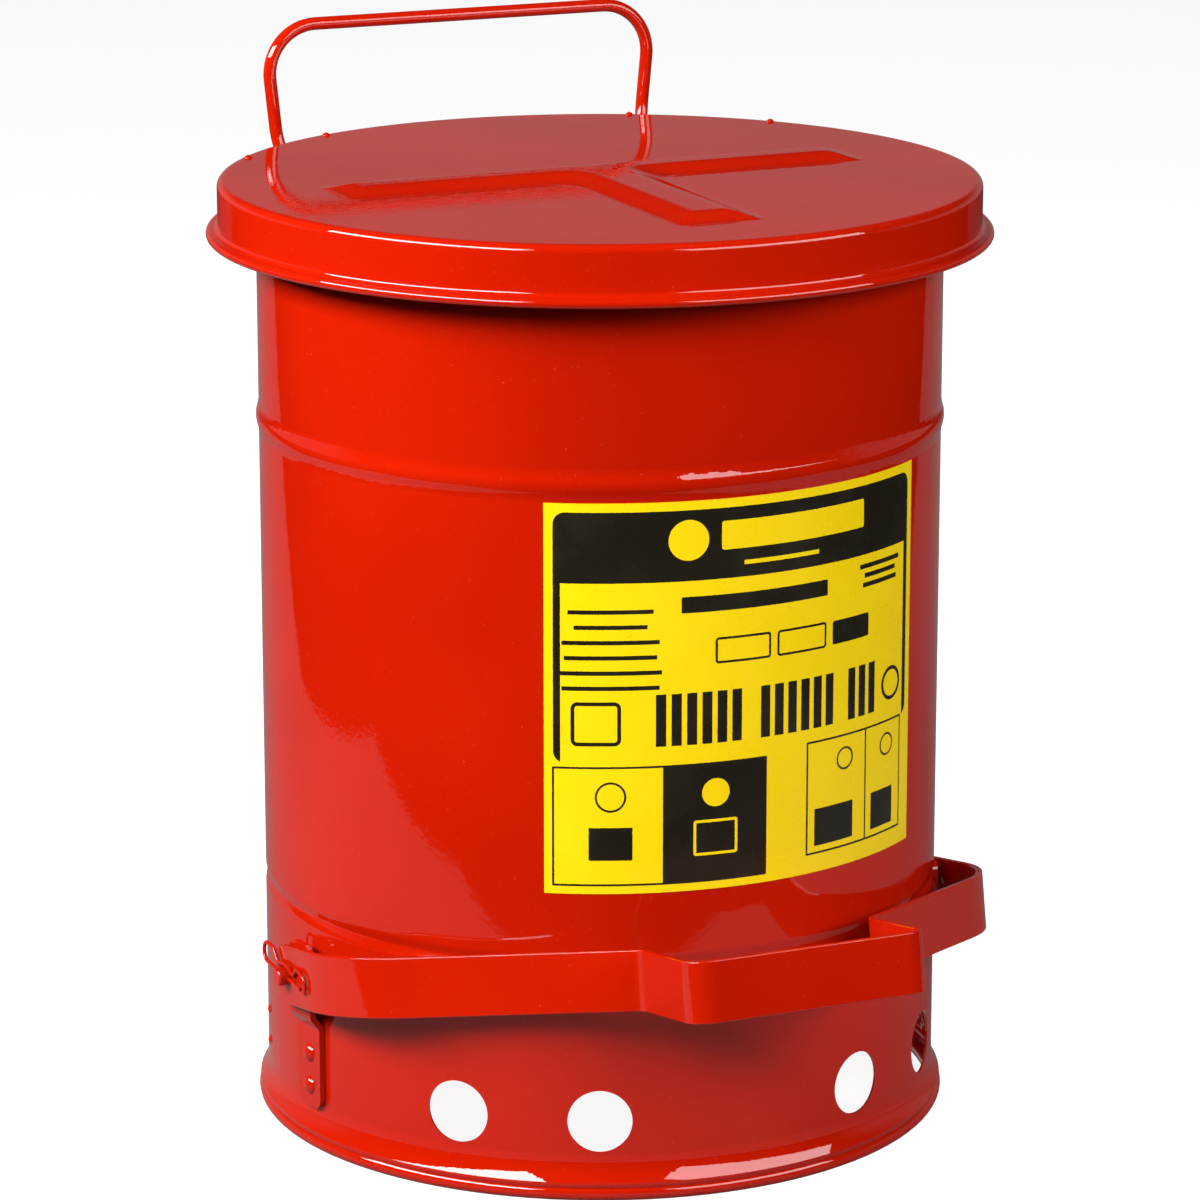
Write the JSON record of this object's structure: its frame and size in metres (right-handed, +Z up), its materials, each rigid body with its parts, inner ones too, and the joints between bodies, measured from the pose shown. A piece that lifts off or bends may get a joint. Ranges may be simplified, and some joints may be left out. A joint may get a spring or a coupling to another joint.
{
  "type": "oily waste can",
  "caption": "Round steel waste can with raised bottom, vented base, domed-rib hinged lid lifted by a foot pedal strap, rear lift rod and carrying handle.",
  "frame": {"origin": "on the can's axis, in the plane of the rolled foot that it stands on", "axes": "+Z up, -Y towards the foot pedal at the front, +X to the right of someone standing at the pedal"},
  "size_m": [0.3342, 0.4079, 0.4508],
  "materials": {
    "red_paint": "glossy powder coat",
    "galvanised": "dull zinc-coated sheet",
    "sticker": "satin printed vinyl",
    "zinc": "zinc plated",
    "bare_steel": "drawn bar, lightly oiled",
    "bush_plastic": "moulded nylon"
  },
  "bodies": {
    "can": {"base_rivets": "red_paint", "body_hinge_bracket": "red_paint", "body_shell": "red_paint", "bottom_pan": "galvanised", "handle": "red_paint", "handle_clip_rivets_left": "red_paint", "handle_clip_rivets_right": "red_paint", "handle_clips_left": "red_paint", "handle_clips_right": "red_paint", "hinge_bracket_rivets": "red_paint", "hinge_pin": "zinc", "hinge_pin_clip": "zinc", "label_sticker": "sticker", "lever_rest": "red_paint", "pivot_bracket_left": "red_paint", "pivot_bracket_right": "red_paint", "pivot_bracket_rivets_left": "red_paint", "pivot_bracket_rivets_right": "red_paint", "rod_guide_lower": "red_paint", "rod_guide_rivets_lower": "red_paint", "rod_guide_rivets_upper": "red_paint", "rod_guide_upper": "red_paint", "shaft_bush_left": "bush_plastic", "shaft_bush_right": "bush_plastic"},
    "lid": {"lid_shell": "red_paint", "lid_stiffener": "red_paint", "lid_rivets": "red_paint", "lid_hinge_leaf": "red_paint", "lid_leaf_rivets": "red_paint", "rod_top_pin": "zinc", "rod_top_pin_clip": "zinc"},
    "pedal": {"pedal_strap": "red_paint", "pedal_shaft": "bare_steel", "shaft_washers": "zinc", "hairpin_left": "red_paint", "hairpin_right": "red_paint", "lever_arm": "red_paint", "arm_roll_pin": "zinc"},
    "rod": {"lift_rod": "red_paint", "rod_bottom_pin": "zinc", "rod_bottom_pin_clip": "zinc"}
  },
  "joints": [
    {"name": "pedal_pivot", "type": "hinge", "parent": "can", "child": "pedal", "pos_m": [0, -0.026, 0.078], "axis": [1, 0, 0], "range_deg": [0, 8.52]},
    {"name": "lid_hinge", "type": "hinge", "parent": "can", "child": "lid", "pos_m": [0, 0.186, 0.385], "axis": [-1, 0, 0], "range_deg": [0, 60]},
    {"name": "rod_slide", "type": "slide", "parent": "can", "child": "rod", "axis": [0, 0, 1], "range_m": [0, 0.028]}
  ],
  "couplings": [
    {"joint": "lid_hinge", "follows": "pedal_pivot", "ratio": 7.0415},
    {"joint": "rod_slide", "follows": "pedal_pivot", "m_per_rad": 0.1882}
  ]
}
